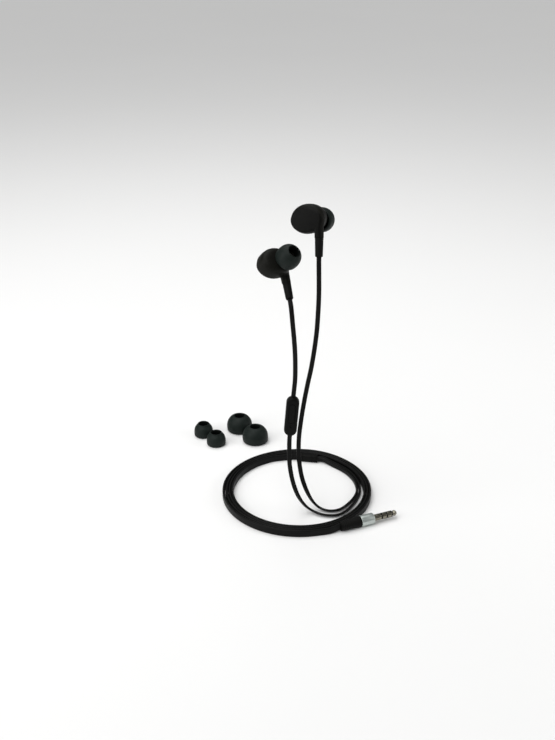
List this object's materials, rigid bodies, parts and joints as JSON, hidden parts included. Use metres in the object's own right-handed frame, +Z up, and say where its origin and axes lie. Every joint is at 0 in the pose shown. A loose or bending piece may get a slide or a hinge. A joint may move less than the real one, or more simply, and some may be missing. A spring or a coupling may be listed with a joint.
{
  "type": "wired earphones",
  "caption": "In-ear earphones on a flat lead with an in-line remote, a splitter, a coiled main cable with a straight jack plug, and spare eartips beside the coil.",
  "frame": {"origin": "centre of the mouth of the right earbud's eartip, where an ear holds it", "axes": "+Z up, from the surface that the coil lies on towards the earbuds; -Y towards the side from which the remote's button is seen; +X to the right as seen from there, the side the plug points to"},
  "size_m": [0.1145, 0.1242, 0.1681],
  "materials": {
    "shell": "soft-touch black, very slightly olive",
    "rubber": "moulded black rubber, satin",
    "silicone": "dark grey-green silicone, satin",
    "lead": "black flat cable jacket, satin",
    "aluminium": "bright turned aluminium, satin",
    "contact": "nickel plated, polished",
    "plastic": "black insulating plastic",
    "copper": "bare copper",
    "steel": "plain steel",
    "film": "thin clear amber film",
    "board": "green solder mask"
  },
  "bodies": {
    "earphones": {"right_rear_cover": "shell", "right_front_shell": "shell", "right_seal_ring": "rubber", "right_nozzle_screen": "steel", "right_driver_frame": "plastic", "right_driver_magnet": "steel", "right_driver_voice_coil": "copper", "right_driver_diaphragm": "film", "right_cable_crimp": "copper", "right_stem_sleeve": "rubber", "left_rear_cover": "shell", "left_front_shell": "shell", "left_seal_ring": "rubber", "left_nozzle_screen": "steel", "left_driver_frame": "plastic", "left_driver_magnet": "steel", "left_driver_voice_coil": "copper", "left_driver_diaphragm": "film", "left_cable_crimp": "copper", "left_stem_sleeve": "rubber", "remote_front_shell": "shell", "remote_back_shell": "shell", "remote_circuit_board": "board", "remote_switch": "steel", "remote_microphone": "steel", "splitter_body": "rubber", "plug_boot": "rubber", "plug_collar": "aluminium", "plug_moulding": "plastic", "plug_insulator": "plastic", "plug_contact_sleeve": "contact", "plug_contact_ring_2": "contact", "plug_contact_ring_1": "contact", "plug_contact_tip": "contact", "right_cable": "lead", "left_cable_upper": "lead", "left_cable_lower": "lead", "main_cable_coil": "lead", "main_cable_start": "lead", "main_cable_end": "lead"},
    "remote_button": {"remote_button": "rubber"},
    "right_eartip": {"right_eartip": "silicone"},
    "left_eartip": {"left_eartip": "silicone"},
    "spare_eartip_small_1": {"spare_eartip_small_1": "silicone"},
    "spare_eartip_small_2": {"spare_eartip_small_2": "silicone"},
    "spare_eartip_large_1": {"spare_eartip_large_1": "silicone"},
    "spare_eartip_large_2": {"spare_eartip_large_2": "silicone"}
  },
  "joints": [
    {"name": "remote_button_press", "type": "slide", "parent": "earphones", "child": "remote_button", "axis": [0, 1, 0], "range_m": [0, 0.0003], "stiffness_N_per_m": 1500, "springref_m": -0.0006},
    {"name": "right_eartip_pull", "type": "slide", "parent": "earphones", "child": "right_eartip", "axis": [0.4301, 0.8663, -0.2541], "range_m": [0, 0.012]},
    {"name": "left_eartip_pull", "type": "slide", "parent": "earphones", "child": "left_eartip", "axis": [0.4828, -0.5397, 0.6897], "range_m": [0, 0.012]},
    {"name": "spare_eartip_small_1_lift", "type": "slide", "parent": "earphones", "child": "spare_eartip_small_1", "axis": [0, 0, 1], "range_m": [0, 0.03]},
    {"name": "spare_eartip_small_2_lift", "type": "slide", "parent": "earphones", "child": "spare_eartip_small_2", "axis": [0, 0, 1], "range_m": [0, 0.03]},
    {"name": "spare_eartip_large_1_lift", "type": "slide", "parent": "earphones", "child": "spare_eartip_large_1", "axis": [0, 0, 1], "range_m": [0, 0.03]},
    {"name": "spare_eartip_large_2_lift", "type": "slide", "parent": "earphones", "child": "spare_eartip_large_2", "axis": [0, 0, 1], "range_m": [0, 0.03]}
  ]
}
